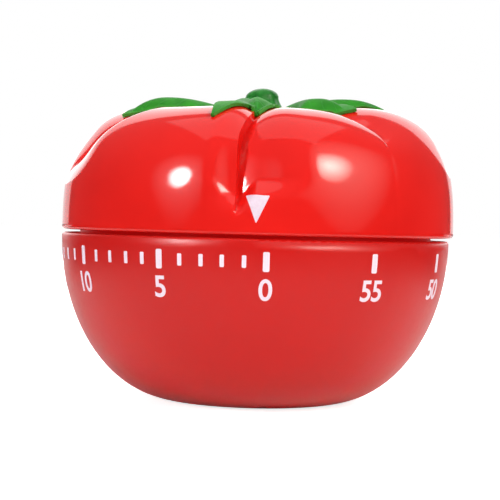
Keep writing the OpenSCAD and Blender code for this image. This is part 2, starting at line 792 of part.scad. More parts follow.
// Height of the lobes, never less than the real one, at a point p of the plan
function ground(p) =
    let(s = share_at(norm(p)), h = meridian(s, 0)[1], begin = swung(0, s),
        a = begin + (atan2(p[1], p[0]) - front - begin + 720) % 360,
        k = max([for (i = [0:lobes - 1]) if (swung(i, s) <= a) i]),
        t = (a - swung(k, s)) / (swung(k + 1, s) - swung(k, s)))
    upper_rim + h + lift(s, k, t, h) - crease(s, k, t) * sin(slope(s));

// Closed loop of rings: outside up to the hole, inside down again, then round the rim
module upper_shell() {
    per_lobe = 18;
    columns = per_lobe * lobes;
    rows = 20;
    first = 0.005;
    outside = [for (i = [0:rows]) first + (1 - first) * pow(i / rows, 1.4)];
    inside = [for (i = [rows:-2:0]) outside[i]];
    rim_arc = [for (a = [0:30:90]) a];
    top_ring = rows + 1;                    // at the hole, outside and inside
    rim_ring = top_ring + 2 + len(inside);
    function share(i) = let(t = i / per_lobe) t / 2 + (1 - cos(180 * t)) / 4;    // closer near a crease
    function flat_point(r, z, k, t) =
        let(dir = front + crease_at(k) * (1 - t) + crease_at(k + 1) * t)
        [r * cos(dir), r * sin(dir), upper_rim + z];
    function rim_point(n, k, t) =
        let(outer = n < len(rim_arc), b = outer ? rim_arc[n] : rim_arc[2 * len(rim_arc) - 1 - n],
            edge = outer ? timer_r - shell_wall + rim_round : timer_r - rim_round)
        flat_point(edge + (outer ? -1 : 1) * rim_round * cos(b), rim_round * (1 - sin(b)), k, t);
    function ring_point(j, k, t) =
        j < top_ring ? dome_point(outside[j], k, t, 0)
        : j < top_ring + 2 ? flat_point(hole_r, dome_h - dip - (j - top_ring) * shell_wall, k, t)
        : j < rim_ring ? dome_point(inside[j - top_ring - 2], k, t, shell_wall)
        : rim_point(j - rim_ring, k, t);
    rings = rim_ring + 2 * len(rim_arc);
    points = [for (j = [0:rings - 1]) for (k = [0:lobes - 1]) for (i = [0:per_lobe - 1])
        ring_point(j, k, share(i))];
    faces = [for (j = [0:rings - 1]) for (i = [0:columns - 1])
        let(k = (i + 1) % columns, n = (j + 1) % rings)
        for (f = [[j * columns + i, n * columns + i, j * columns + k],
                  [j * columns + k, n * columns + i, n * columns + k]]) f];
    color("#e8221c") polyhedron(points, faces, convexity = 6);
}

// Hub under the shell: a flatted bore below for the arbor, a socket above for the calyx peg
module dial_hub() color("#b8150f") {
    under = seat_z - shell_wall;
    hub_ribs = 5;
    difference() {
        union() {
            rod(hub_r, hub_z, under);
            rod(hub_flange_r, under - hub_flange_t, under);
            rod(hole_r - seat_fit, under, seat_z);
            for (k = [0:hub_ribs - 1]) rotate(360 * k / hub_ribs)
                translate([0, -0.6, hub_z + 2]) cube([hub_flange_r, 1.2, under - hub_z - 3]);
        }
        difference() {
            rod(arbor_d / 2 + seat_fit, hub_z - 1, arbor_top + 0.4);
            translate([arbor_d / 2 - arbor_flat + seat_fit, -arbor_d, hub_z - 1])
                cube([arbor_d, 2 * arbor_d, arbor_top]);
        }
        rod(peg_d / 2 + seat_fit, seat_z - 3, seat_z + 1);
    }
}

// One leaf: a sheet with a thicker rib, arched from the button over the lobes and down to its tip
module leaf(l) {
    stations = 14;
    start = button_d / 2 - 1.6;
    across = [-1, -0.5, 0, 0.5, 1];
    sides = 2 * len(across);
    arch = crest_z + l[3];
    function half(t) =
        leaf_w / 2 * l[2] * (t < leaf_widest ? leaf_neck + (1 - leaf_neck) * ease(t / leaf_widest)
            : pow(max(leaf_end, sin(90 * (1 - t) / (1 - leaf_widest))), 0.75));
    function rib(t) =
        t < l[4] ? button_z + (arch - button_z) * sin(90 * t / l[4])
        : arch - (l[3] - l[5]) * pow(1 - cos(90 * (t - l[4]) / (1 - l[4])), 1.35);
    function spot(t, c) =
        let(dir = front + l[0] + l[6] * t * t)
        polar(start + (l[1] - start) * t, dir) + polar(half(t) * c, dir + 90);
    function top(t, c) =
        max(rib(t) - l[7] * pow(abs(c), 1.5) * min(1, 2.2 * half(t) / (leaf_w * l[2])),
            ground(spot(t, c)) + leaf_t + leaf_gap);
    points = [for (i = [0:stations]) for (j = [0:sides - 1])
        let(t = i / stations, under = j >= len(across), c = across[under ? sides - 1 - j : j],
            p = spot(t, c))
        [p[0], p[1], top(t, c) - (under ? leaf_edge_t + (leaf_t - leaf_edge_t) * (1 - abs(c)) : 0)]];
    walls = [for (i = [0:stations - 1]) for (j = [0:sides - 1])
        let(k = (j + 1) % sides)
        for (f = [[i * sides + j, i * sides + k, (i + 1) * sides + j],
                  [i * sides + k, (i + 1) * sides + k, (i + 1) * sides + j]]) f];
    cap = [for (j = [sides - 1:-1:0]) j];
    end = [for (j = [0:sides - 1]) stations * sides + j];
    polyhedron(points, concat(walls, [cap, end]), convexity = 4);
}

module calyx() color("#2f8f2f") {
    difference() {
        union() {
            rotate_extrude($fn = 48) translate([0, seat_z]) {
                square([button_d / 2, button_h - button_round]);
                square([button_d / 2 - button_round, button_h]);
                translate([button_d / 2 - button_round, button_h - button_round])
                    circle(button_round, $fn = 24);
            }
            for (l = leaf_shapes) leaf(l);
        }
        intersection() {
            stem_body(seat_fit);
            rod(stem_foot_d, button_z, button_z + 2 * stem_l);
        }
        rod(stem_d / 4 + seat_fit, seat_z + 0.5, button_z + 1);
    }
    rod(peg_d / 2, seat_z - 2.8, seat_z + 0.5);
}

// Body of the stem, a stub with a flared foot and a round top that leans to the right, grown by fit
module stem_body(fit) {
    shoulder = 0.62 * stem_l;
    flare = [for (u = [0:0.125:1])
        [stem_d / 2 + (stem_foot_d - stem_d) / 2 * pow(1 - u, 1.25) + fit, shoulder * u]];
    dome = [for (a = [11.25:11.25:78.75])
        [(stem_d / 2 + fit) * cos(a), shoulder + (stem_l - shoulder + fit) * sin(a)]];
    translate([0, 0, button_z]) rotate([0, stem_lean, 0]) rotate_extrude($fn = 48)
        polygon(concat([[0, -1], [stem_foot_d / 2 + fit, -1]], flare, dome, [[0, stem_l + fit]]));
}

// Stem with the peg that holds it in the button, seated on the button's flat top
module stem() color("#1f6b2a") {
    rod(stem_d / 4, seat_z + 0.6, button_z + 0.1);
    difference() {
        stem_body(0);
        rod(stem_foot_d, button_z - 2, button_z);
    }
}

lower_shell();
movement_deck();
deck_screws();
movement_screws();
bottom_plate();
top_plate();
plate_pillars();
bell();
bell_post();
bell_screw();
mainspring();
release_spring();
hammer_spring();
main_arbor();
main_wheel();
ratchet_wheel();
click();
click_spring();
release_cam();
second_pinion();
second_wheel();
third_pinion();
third_wheel();
hammer_star();
escape_pinion();
escape_wheel();
pallet_anchor();
balance_bar();
hammer_lever();
hammer_head();
upper_shell();
dial_hub();
calyx();
stem();
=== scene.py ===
"""Kitchen timer shaped like a tomato: its finished surfaces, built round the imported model.

Metres, +Z up, the pointer faces -Y. The lobed shell, the leaves and the stem are modelled here and
stand for their plain solids; the other solids keep their meshes and get their finishes.
"""
import json
import math
from collections import namedtuple

import bpy
from mathutils import Matrix, Vector


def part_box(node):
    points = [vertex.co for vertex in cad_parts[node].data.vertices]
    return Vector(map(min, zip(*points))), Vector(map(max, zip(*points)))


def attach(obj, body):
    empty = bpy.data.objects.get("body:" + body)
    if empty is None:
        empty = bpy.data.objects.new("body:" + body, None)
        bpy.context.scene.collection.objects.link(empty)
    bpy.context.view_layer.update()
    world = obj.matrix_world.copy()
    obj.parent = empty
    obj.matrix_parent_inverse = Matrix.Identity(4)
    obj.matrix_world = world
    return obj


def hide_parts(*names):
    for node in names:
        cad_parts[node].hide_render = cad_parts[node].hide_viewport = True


MM = 0.001
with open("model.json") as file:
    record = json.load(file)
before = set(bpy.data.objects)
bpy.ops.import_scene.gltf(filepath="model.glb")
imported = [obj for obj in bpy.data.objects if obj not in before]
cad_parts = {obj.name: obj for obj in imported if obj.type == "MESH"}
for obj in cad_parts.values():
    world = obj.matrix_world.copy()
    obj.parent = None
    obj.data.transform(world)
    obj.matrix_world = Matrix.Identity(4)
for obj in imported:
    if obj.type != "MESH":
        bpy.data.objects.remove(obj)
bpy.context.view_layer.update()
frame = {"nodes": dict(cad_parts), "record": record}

# ---- driving dimensions, from the frame ----

bowl_low, bowl_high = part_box("lower_shell")
TIMER_R = round((bowl_high.x - bowl_low.x) / 2, 4)      # widest radius, at the split
RIM_Z = bowl_high.z                                     # rim of the lower shell
UPPER_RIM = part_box("upper_shell")[0].z                  # rim of the upper shell
STEM_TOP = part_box("stem")[1].z
DOME_H = 20.6 * MM                                      # lobe tops above that rim
FRONT = -90.0                                           # direction of the pointer

# ---- form of the upper shell ----

WALL = 2 * MM
RIM_ROUND = 0.5 * MM
CREST_R = 15.5 * MM         # the lobe tops' distance from the axis
DIP = 4.6 * MM              # depth of the hollow in the middle
FULLNESS = 2.9              # 2 would be an ellipse
SEAT_R = 5.3 * MM           # flat seat of the calyx
HOLE_R = 4.2 * MM           # hole for the hub in the middle of that seat
SEAT_Z = UPPER_RIM + DOME_H - DIP
CREST_S = 0.7               # share of the meridian from the rim to the lobe tops

# Places along a crease are shares s of the meridian, which runs from 0 at the rim to 1 at the seat;
# places across it are shares t of the lobe beside it.
# A crease: direction from the pointer; where along the meridian it begins, and over what share it
# deepens; its depth, and the share of it reached at once; depth of the shallow dimple round its
# lower end; how many degrees it swings round towards the middle, and from where; width of its
# right flank as a share of the lobe, and how sharply that meets the line; softness of its left
# flank, 0 for a wall
Crease = namedtuple(
    "Crease", "direction begin over depth early dimple swing start width sharp softness")
REAR = dict(begin=0.2, over=0.3, depth=3.3 * MM, early=0, dimple=0, swing=4, start=0.5, width=0.3,
            sharp=0, softness=0.42)
CREASES = [
    Crease(direction=-5.4, begin=0.03, over=0.45, depth=2.2 * MM, early=0.55, dimple=1.8 * MM,
           swing=4, start=0.3, width=0.44, sharp=1, softness=0),
    Crease(direction=42, begin=0.23, over=0.34, depth=3.7 * MM, early=0, dimple=0,
           swing=0, start=0.4, width=0.35, sharp=1, softness=0.26),
    Crease(direction=124, **REAR),
    Crease(direction=205, **REAR),
    Crease(direction=283, begin=0.1, over=0.28, depth=4.1 * MM, early=0, dimple=0,
           swing=13, start=0.25, width=0.3, sharp=0, softness=0.42),
]
LOBES = len(CREASES)
EARLY_OVER = 0.06           # share of the meridian over which the early part of a crease deepens
SWING_OVER = 0.35           # and over which a crease swings
FADE = (0.62, 0.3)          # where creases start to fade out towards the top, and over what share

# The dimple right of the line: where it starts, and over what share it reaches its depth. Each has
# its value at the line, and how much larger it is from DIMPLE_TURN of the lobe outwards.
DIMPLE_FOOT = (0.02, 0.045)
DIMPLE_RAMP = (0.055, 0.025)
DIMPLE_TURN = 0.12
DIMPLE_SIDE = (0.08, 0.42)  # where it starts to end across the lobe, and over what share
DIMPLE_TOP = (0.17, 0.45)   # the same along the meridian
# Left of the line it is shallower: share of the depth, where it starts, how fast that climbs across
# the lobe, over what share it reaches its depth, and its width
DIMPLE_LEFT = (0.24, 0.03, 0.7, 0.045, 0.15)
DIMPLE_LEFT_TOP = (0.1, 0.2)

# The left wall of a crease without softness: its height at the line as a share of the crease's
# depth, how much of that it loses higher up, from where, over what share, and its width
WALL_FORM = (0.92, 0.42, 0.12, 0.2, 0.13)

# A lobe follows each crease: how much higher it stands than the plain form, and how far out
RISES = [-0.5 * MM, 0.6 * MM, 0, 0.5 * MM, -0.5 * MM]
SWELLS = [0, 0.7 * MM, 0, 0, 0]
RISE_FORM = 0.6             # less spreads a rise nearer to the creases
RISE_OVER = 0.28            # share of the meridian over which it ends beyond the lobe top

# fineness of the mesh
SHELL_COLUMNS = 450
OUTER_ROWS = 112
INNER_ROWS = 44
OUTER_FIRST = 0.004         # share of the meridian where the outer rows start, above the rim's edge
INNER_FIRST = 0.01
ROW_CROWDING = 1.4          # more draws the rows closer together near the rim

# ---- form of the calyx and the stem ----

CALYX_TOP = 48.3 * MM       # flat top of the button, where the stem stands
BUTTON_R = 5 * MM
BUTTON_ROUND = 0.5 * MM
STEM_FOOT_R = 4.5 * MM
STEM_R = 2.8 * MM
STEM_SHOULDER = 50.9 * MM   # where the round top begins
STEM_LEAN = 0.75 * MM       # how far the top stands to the right
FLUTES = 7
FLUTE_DEPTH = 0.035         # as a share of the radius
LEAF_START = 3.4 * MM       # distance from the axis where a leaf starts
LEAF_T = 0.55 * MM
LEAF_CLEAR = 0.2 * MM       # clearance over the lobes
LEAF_WIDEST = 0.42          # share of its length where a leaf is widest
LEAF_NECK = 0.36            # width at the button as a share of the width there
LEAF_END = 0.035            # least width towards the tip, before it is rounded
EDGE_WAVE = (0.07, 5.2, 0.15)               # waves of a leaf's edges: depth, number, shift
RIPPLE = (0.16 * MM, 3.1, 0.3)              # the same of its surface, up and down
LEAF_ROWS = 72              # faces along a leaf
LEAF_COLUMNS = 20           # and across it
# A leaf: direction from the pointer; how far it reaches from the axis; its width; height of its
# arch, and where that is; height of its tip; sideways bend in degrees; how far its sides fold down
Leaf = namedtuple("Leaf", "direction reach width peak peak_at tip bend fold")
LEAVES = [
    Leaf(-80, 23.4 * MM, 6.4 * MM, 50.4 * MM, 0.55, 46.4 * MM, bend=6, fold=2.0 * MM),
    Leaf(-8, 27.3 * MM, 6.0 * MM, 49.9 * MM, 0.26, 45.6 * MM, bend=-7, fold=2.2 * MM),
    Leaf(-1, 20.6 * MM, 7.4 * MM, 50.1 * MM, 0.48, 45.4 * MM, bend=0, fold=2.0 * MM),
    Leaf(53, 19.6 * MM, 5.8 * MM, 50.5 * MM, 0.50, 46.7 * MM, bend=0, fold=2.1 * MM),
    Leaf(98, 21.6 * MM, 5.0 * MM, 51.2 * MM, 0.63, 49.7 * MM, bend=0, fold=1.6 * MM),
    Leaf(160, 21.0 * MM, 5.8 * MM, 50.3 * MM, 0.50, 47.9 * MM, bend=4, fold=1.4 * MM),
    Leaf(215, 22.0 * MM, 5.8 * MM, 50.0 * MM, 0.50, 47.6 * MM, bend=-4, fold=1.4 * MM),
]

# ---- form of the lower shell ----

FOOT_R = 13 * MM

# ---- printing ----

INK_PROUD = 0.04 * MM       # how far ink stands proud
SCALE_ZERO = 3.87           # direction of the zero mark, degrees to the right of the pointer
MINUTE = 6.0                # degrees of the scale for one minute
# how many degrees the print of a minute is off its place, to the right
DRIFT = {0: -0.8, 1: -0.65, 2: -0.55, 3: -0.3, 4: -0.3, 5: -0.4, 6: 0.2, 7: 0.6, 8: 0.45, 9: 0.3,
         10: -0.5, 11: -0.6, 12: -0.8, 13: -0.8, 50: 0.5, 55: 0.5}
TICK_Z = RIM_Z - 3.4 * MM   # middle of the ticks
FIVE_TICK = (1.0 * MM, 2.95 * MM)           # width and height of the long ticks
MINUTE_TICK = (0.66 * MM, 1.85 * MM)
MINUTE_TICKS_END = 45       # from here to the end of the scale there are long ticks alone
DIGIT_H = 3.3 * MM
DIGIT_WIDE = 0.97           # stretch of the digits across
DIGIT_BOLD = 0.016          # how far their strokes are thickened, as a share of the font's size
DIGIT_SPACING = 0.94
DIGIT_Z = RIM_Z - 7.6 * MM
# corners of the pointer: distance to the right of the front, height above the foot
POINTER = [(-1.68 * MM, 34.3 * MM), (0.05 * MM, 29.8 * MM), (2.05 * MM, 34.1 * MM)]


def ease(x):
    """Rises smoothly from 0 to 1."""
    t = min(1.0, max(0.0, x))
    return t * t * (3 - 2 * t)


def polar(r, degrees):
    """The point at that radius and angle, at height 0."""
    return Vector((r * math.cos(math.radians(degrees)), r * math.sin(math.radians(degrees)), 0))


# ---- curves of the tomato ----

def meridian(s):
    """(radius, height above the rim) of the plain dome, without creases, at s."""
    if s < CREST_S:
        a = math.radians(90 * s / CREST_S)
        e = 2 / FULLNESS
        return CREST_R + (TIMER_R - CREST_R) * math.cos(a) ** e, DOME_H * math.sin(a) ** e
    u = (s - CREST_S) / (1 - CREST_S)
    return CREST_R + (SEAT_R - CREST_R) * u, DOME_H - DIP * (1 - math.cos(math.pi * u)) / 2


def share_at(r, h):
    """The share s of the meridian at a point of it."""
    if r >= CREST_R:
        side = max(0.0, (r - CREST_R) / (TIMER_R - CREST_R)) ** (FULLNESS / 2)
        rise = max(0.0, h / DOME_H) ** (FULLNESS / 2)
        return CREST_S * math.degrees(math.atan2(rise, side)) / 90
    return CREST_S + (1 - CREST_S) * min(1.0, (CREST_R - r) / (CREST_R - SEAT_R))


def crease_dir(k):
    """Direction of crease k at the rim; k may run past the last crease, or below 0."""
    return CREASES[k % LOBES].direction + 360 * (k // LOBES)


def swung(k, s):
    """Direction of crease k at s."""
    c = CREASES[k % LOBES]
    return crease_dir(k) + c.swing * ease((s - c.start) / SWING_OVER)


def gentle(x):
    """Rises from 0 to 1 with no break in its curvature either."""
    t = min(1.0, max(0.0, x))
    return t ** 3 * (t * (6 * t - 15) + 10)


def bell(x):
    """1 at 0, falling smoothly to 0 at 1."""
    return (1 + math.cos(math.pi * min(1, x))) / 2


def ended(x, span, form=ease):
    """1 before the span starts, falling to 0 over it."""
    start, over = span
    return 1 - form((x - start) / over)


def crease_depth(c, s):
    """Depth along the line of crease c."""
    up = s - c.begin
    return c.depth * (c.early * ease(up / EARLY_OVER) + (1 - c.early) * ease(up / c.over))


def right_flank(c, s, t):
    """Depth at s, a share t of the lobe to the right of crease c."""
    x = min(1, t / c.width)
    out = ease(t / DIMPLE_TURN)
    foot = DIMPLE_FOOT[0] + DIMPLE_FOOT[1] * out
    ramp = DIMPLE_RAMP[0] + DIMPLE_RAMP[1] * out
    dimple = c.dimple * ease((s - foot) / ramp)
    dimple *= ended(t, DIMPLE_SIDE, gentle) * ended(s, DIMPLE_TOP)
    return crease_depth(c, s) * (bell(x) + c.sharp * ((1 - x) ** 3 - bell(x))) + dimple


def left_flank(c, s, t):
    """Depth at s, a share t of the lobe to the left of crease c."""
    share, foot, climb, ramp, width = DIMPLE_LEFT
    dimple = share * c.dimple * ease((s - foot - climb * t) / ramp) * bell(t / width)
    dimple *= ended(s, DIMPLE_LEFT_TOP)
    if c.softness:
        flank = 1 - math.sin(math.pi * (1 - t)) ** c.softness
    else:
        full, loss, start, over, width = WALL_FORM
        flank = (full - loss * ease((s - start) / over)) * bell(t / width)
    return crease_depth(c, s) * flank + dimple


def dome_point(r, h, k, t):
    """Where a point of the plain dome goes once the creases are pressed in; it lies a share t of
    the way from crease k to the next."""
    s = share_at(r, h)
    turn = swung(k, s) * (1 - t) + swung(k + 1, s) * t
    if t < 0.5:
        depth = right_flank(CREASES[k % LOBES], s, t)
    else:
        depth = left_flank(CREASES[(k + 1) % LOBES], s, 1 - t)
    depth *= ended(s, FADE)
    slope = math.radians(90 * min(1.0, s / CREST_S))
    middle = math.sin(math.pi * t)
    rise = RISES[k % LOBES] * middle ** RISE_FORM * h / DOME_H * ended(s, (CREST_S, RISE_OVER))
    swell = SWELLS[k % LOBES] * middle * ease(r / TIMER_R)
    point = polar(r + swell - depth * math.cos(slope), FRONT + turn)
    point.z = UPPER_RIM + h + rise - depth * math.sin(slope)
    return point


def dome_side(h, angle):
    """Point on the side of the creased dome at height h, angle degrees right of the pointer."""
    a = math.asin((h / DOME_H) ** (FULLNESS / 2))
    r = CREST_R + (TIMER_R - CREST_R) * math.cos(a) ** (2 / FULLNESS)
    k = max(k for k in range(-1, LOBES) if crease_dir(k) <= angle)
    t = (angle - crease_dir(k)) / (crease_dir(k + 1) - crease_dir(k))
    return dome_point(r, h, k, t)


def bowl_r(z):
    """Outside radius of the lower shell at height z."""
    down = (RIM_Z - z) / RIM_Z
    return FOOT_R + (TIMER_R - FOOT_R) * math.sqrt(max(0.0, 1 - down * down))


# ---- modelling helpers ----

def deselect():
    """Leaves nothing selected."""
    bpy.ops.object.select_all(action="DESELECT")


def work_on(piece):
    """Makes the piece the one that operators act on."""
    deselect()
    piece.select_set(True)
    bpy.context.view_layer.objects.active = piece


def named(name):
    """The piece in hand, with its name."""
    piece = bpy.context.object
    piece.name = name
    piece.data.name = name
    return piece


def settle(piece):
    """Puts the piece's place into its mesh."""
    work_on(piece)
    bpy.ops.object.transform_apply(location=True, rotation=True, scale=True)


def modify(piece, kind, **settings):
    """Adds one modifier and applies it."""
    work_on(piece)
    modifier = piece.modifiers.new(kind.title(), kind)
    for key, value in settings.items():
        setattr(modifier, key, value)
    bpy.ops.object.modifier_apply(modifier=modifier.name)


def smooth(piece, angle=40):
    """Shades the piece smoothly, with edges sharper than the angle left sharp."""
    work_on(piece)
    bpy.ops.object.shade_smooth_by_angle(angle=math.radians(angle))


def joined(name, pieces):
    """Several pieces made one."""
    work_on(pieces[0])
    for piece in pieces:
        piece.select_set(True)
    bpy.ops.object.join()
    return named(name)


def spun(name, outline, steps):
    """A turned shape: one vertex is drawn out along the outline, then spun about the axis."""
    deselect()
    bpy.ops.mesh.primitive_plane_add(size=MM, location=(0, 0, 0))
    piece = named(name)
    bpy.ops.object.mode_set(mode="EDIT")
    bpy.ops.mesh.select_all(action="SELECT")
    bpy.ops.mesh.merge(type="CENTER")
    bpy.ops.transform.translate(value=(outline[0][0], 0, outline[0][1]))
    for (r0, z0), (r1, z1) in zip(outline, outline[1:]):
        bpy.ops.mesh.extrude_region_move(TRANSFORM_OT_translate={"value": (r1 - r0, 0, z1 - z0)})
    bpy.ops.mesh.select_all(action="SELECT")
    bpy.ops.mesh.spin(steps=steps, angle=2 * math.pi, center=(0, 0, 0), axis=(0, 0, 1))
    bpy.ops.mesh.select_all(action="SELECT")
    bpy.ops.mesh.remove_doubles(threshold=0.001 * MM)
    bpy.ops.mesh.normals_make_consistent(inside=False)
    bpy.ops.object.mode_set(mode="OBJECT")
    return piece


# ---- camera ----

CAMERA_DISTANCE = 0.260
CAMERA_Z = 0.03056
CAMERA_TURN = 0.00319       # radians to the left
CAMERA_TILT = 0.02078       # radians down
CAMERA_ROLL = 0.0263
LENS = 110.52               # millimetres, for a frame of this width
FRAME_WIDTH = 36.0


def camera():
    """A long lens in front of the timer, a little above its split."""
    data = bpy.data.cameras.new("camera")
    data.sensor_width = FRAME_WIDTH
    data.lens = LENS
    data.clip_start = 0.01
    shooter = bpy.data.objects.new("camera", data)
    bpy.context.scene.collection.objects.link(shooter)
    shooter.matrix_world = (Matrix.Translation((0, -CAMERA_DISTANCE, CAMERA_Z))
                            @ Matrix.Rotation(CAMERA_TURN, 4, "Z")
                            @ Matrix.Rotation(math.pi / 2 - CAMERA_TILT, 4, "X")
                            @ Matrix.Rotation(CAMERA_ROLL, 4, "Z"))
    bpy.context.scene.camera = shooter


camera()


# ---- shader writing ----

class Value:
    """What a socket gives; arithmetic on it adds Math nodes."""

    def __init__(self, finish, socket):
        self.finish = finish
        self.socket = socket

    def math(self, operation, first, second=0.0):
        return self.finish.math(operation, first, second)

    def __add__(self, other):
        return self.math("ADD", self, other)

    def __radd__(self, other):
        return self.math("ADD", other, self)

    def __sub__(self, other):
        return self.math("SUBTRACT", self, other)

    def __rsub__(self, other):
        return self.math("SUBTRACT", other, self)

    def __mul__(self, other):
        return self.math("MULTIPLY", self, other)

    def __rmul__(self, other):
        return self.math("MULTIPLY", other, self)

    def __abs__(self):
        return self.math("ABSOLUTE", self)


class Finish:
    """One procedural material or world."""

    def __init__(self, name, owner=None):
        self.owner = owner or bpy.data.materials.new(name)
        self.owner.use_nodes = True
        self.tree = self.owner.node_tree
        self.tree.nodes.clear()

    def node(self, kind, settings=None, inputs=None, output=0):
        """Adds a node: its settings first, then the values or links of its sockets."""
        new = self.tree.nodes.new(kind)
        for key, value in (settings or {}).items():
            if key == "stops":
                self.stops(new.color_ramp, value)
            else:
                setattr(new, key, value)
        for key, value in (inputs or {}).items():
            if isinstance(value, Value):
                self.tree.links.new(value.socket, new.inputs[key])
            else:
                new.inputs[key].default_value = value
        return Value(self, new.outputs[output]) if new.outputs else None

    def math(self, operation, first, second=0.0):
        return self.node("ShaderNodeMath", {"operation": operation}, {0: first, 1: second})

    @staticmethod
    def stops(ramp, stops):
        while len(ramp.elements) < len(stops):
            ramp.elements.new(0.5)
        for element, (position, colour) in zip(ramp.elements, stops):
            element.position = position
            element.color = colour

    def place(self):
        return self.node("ShaderNodeTexCoord", output="Object")

    def stretched(self, scale):
        return self.node("ShaderNodeMapping", {}, {"Vector": self.place(), "Scale": scale})

    def noise(self, scale, detail=3.0, vector=None):
        return self.node("ShaderNodeTexNoise", {}, {
            "Vector": vector or self.place(), "Scale": scale, "Detail": detail})

    def ramp(self, factor, *stops):
        return self.node("ShaderNodeValToRGB", {"stops": stops}, {"Fac": factor})

    def spread(self, factor, low, high):
        """A number between low and high."""
        return self.node("ShaderNodeMapRange", {}, {
            "Value": factor, "From Min": 0.3, "From Max": 0.7, "To Min": low, "To Max": high})

    def ease(self, value, start, end):
        """Rises smoothly from 0 to 1 between start and end; falls if end comes first."""
        if start < end:
            return self.node("ShaderNodeMapRange", {"interpolation_type": "SMOOTHSTEP"}, {
                "Value": value, "From Min": start, "From Max": end, "To Min": 0.0, "To Max": 1.0})
        return 1 - self.ease(value, end, start)

    def blend(self, factor, first, second):
        """The first colour where the factor is 0, the second where it is 1."""
        sockets = {0: factor, 6: first, 7: second}
        return self.node("ShaderNodeMix", {"data_type": "RGBA"}, sockets, 2)

    def bump(self, height, strength, depth):
        return self.node("ShaderNodeBump", {}, {
            "Height": height, "Strength": strength, "Distance": depth})

    def surface(self, **sockets):
        """The Principled shader; a socket's name has its spaces as underscores."""
        shader = self.node("ShaderNodeBsdfPrincipled", {},
                           {key.replace("_", " "): value for key, value in sockets.items()})
        self.node("ShaderNodeOutputMaterial", {}, {"Surface": shader})
        return self.owner


def rgb(r, g, b):
    return (r, g, b, 1.0)


# ---- finishes ----

def gloss_red():
    """Moulded shell, high gloss, with a faint waviness and a few dull specks."""
    m = Finish("glossy red")
    wave = m.noise(60, 2)
    speck = m.noise(900, 2)
    return m.surface(
        Base_Color=m.ramp(
            wave, (0.35, rgb(0.76, 0.0105, 0.0075)), (0.65, rgb(0.82, 0.013, 0.0095))),
        Roughness=m.spread(speck, 0.06, 0.10), IOR=1.5,
        Normal=m.bump(wave, 0.25, 0.25 * MM))


def satin_red():
    """Moulded shell with a softer shine."""
    m = Finish("satin red")
    wave = m.noise(70, 2)
    speck = m.noise(1400, 3)
    return m.surface(
        Base_Color=m.ramp(wave, (0.3, rgb(0.605, 0.007, 0.0052)), (0.7, rgb(0.62, 0.0074, 0.0056))),
        Roughness=m.spread(speck, 0.285, 0.34), IOR=1.5, Specular_IOR_Level=0.45,
        Normal=m.bump(wave, 0.15, 0.15 * MM))


def deck_red():
    """The deck's dull red, with a painted glow: emission that stands in for the light that comes
    through the shells beside it.
    """
    m = Finish("dark red deck with painted glow")
    speck = m.noise(1500, 3)
    return m.surface(
        Base_Color=m.ramp(speck, (0.35, rgb(0.30, 0.004, 0.003)), (0.65, rgb(0.38, 0.007, 0.005))),
        Roughness=m.spread(speck, 0.32, 0.45),
        # painted glow: this emission stands in for light coming through the shells beside the deck
        Emission_Color=rgb(0.3, 0.001, 0.001), Emission_Strength=0.8,
        Normal=m.bump(speck, 0.2, 0.03 * MM))


def white_ink(name, dull, bright):
    """Printed ink, a little uneven."""
    m = Finish(name)
    speck = m.noise(2600, 3)
    return m.surface(
        Base_Color=m.ramp(speck, (0.3, dull), (0.6, bright)),
        Roughness=m.spread(speck, 0.35, 0.5), Normal=m.bump(speck, 0.2, 0.01 * MM))


def leaf_green():
    """Leaf with a midrib and side veins, along the leaf's own map; its paler midrib and paler edges
    are painted highlights.
    """
    m = Finish("leaf green")
    uv = m.node("ShaderNodeTexCoord", output="UV")
    along = m.node("ShaderNodeSeparateXYZ", {}, {"Vector": uv}, "X")
    across = m.node("ShaderNodeSeparateXYZ", {}, {"Vector": uv}, "Y")
    side = abs(across - 0.5) * 2.0
    rows = abs(m.math("FRACT", along * 7.0 - side * 1.1) - 0.5) * 2.0
    vein = m.ease(rows, 0.82, 1.0)
    # the midrib: raised by the bump below, and painted paler as a painted highlight
    rib = m.ease(side, 0.14, 0.0)
    # painted highlight: both edges of the leaf are painted paler, standing in for glints on them
    edge = m.ease(side, 0.86, 1.0)
    blotch = m.noise(260, 3)
    green = m.ramp(blotch, (0.3, rgb(0.014, 0.195, 0.010)), (0.7, rgb(0.034, 0.320, 0.020)))
    veins_and_painted_rib_highlight = m.blend(m.math("MAXIMUM", vein * 0.35, rib * 0.6), green, rgb(0.040, 0.29, 0.045))
    return m.surface(
        Base_Color=m.blend(edge * 0.55, veins_and_painted_rib_highlight, rgb(0.085, 0.36, 0.065)),
        Roughness=m.spread(blotch, 0.42, 0.58), IOR=1.5, Specular_IOR_Level=0.14,
        Normal=m.bump(blotch * 0.35 - vein * 0.5 - rib * 0.8, 0.5, 0.12 * MM))


def stem_green():
    """Darker green with a grain that runs up the stem."""
    m = Finish("stem green")
    grain = m.noise(140, 3, m.stretched((6, 6, 1)))
    return m.surface(
        Base_Color=m.ramp(grain, (0.3, rgb(0.006, 0.125, 0.012)), (0.7, rgb(0.024, 0.250, 0.030))),
        Roughness=m.spread(grain, 0.3, 0.42), IOR=1.5, Specular_IOR_Level=0.2,
        Normal=m.bump(grain, 0.5, 0.12 * MM))


def metal(name, dark, light, low, high, scale, stretch):
    """Bare metal with the marks of its making: low and high are its roughness, scale is how fine
    the marks are, and stretch sets which way they run."""
    m = Finish(name)
    marks = m.noise(scale, 4, m.stretched(stretch))
    stain = m.noise(90, 2)
    tone = m.ramp(marks, (0.3, dark), (0.7, light))
    return m.surface(
        Base_Color=m.blend(m.spread(stain, 0.0, 0.25), tone, rgb(*[c * 0.6 for c in dark[:3]])),
        Metallic=1.0, Roughness=m.spread(marks, low, high), Normal=m.bump(marks, 0.15, 0.01 * MM))


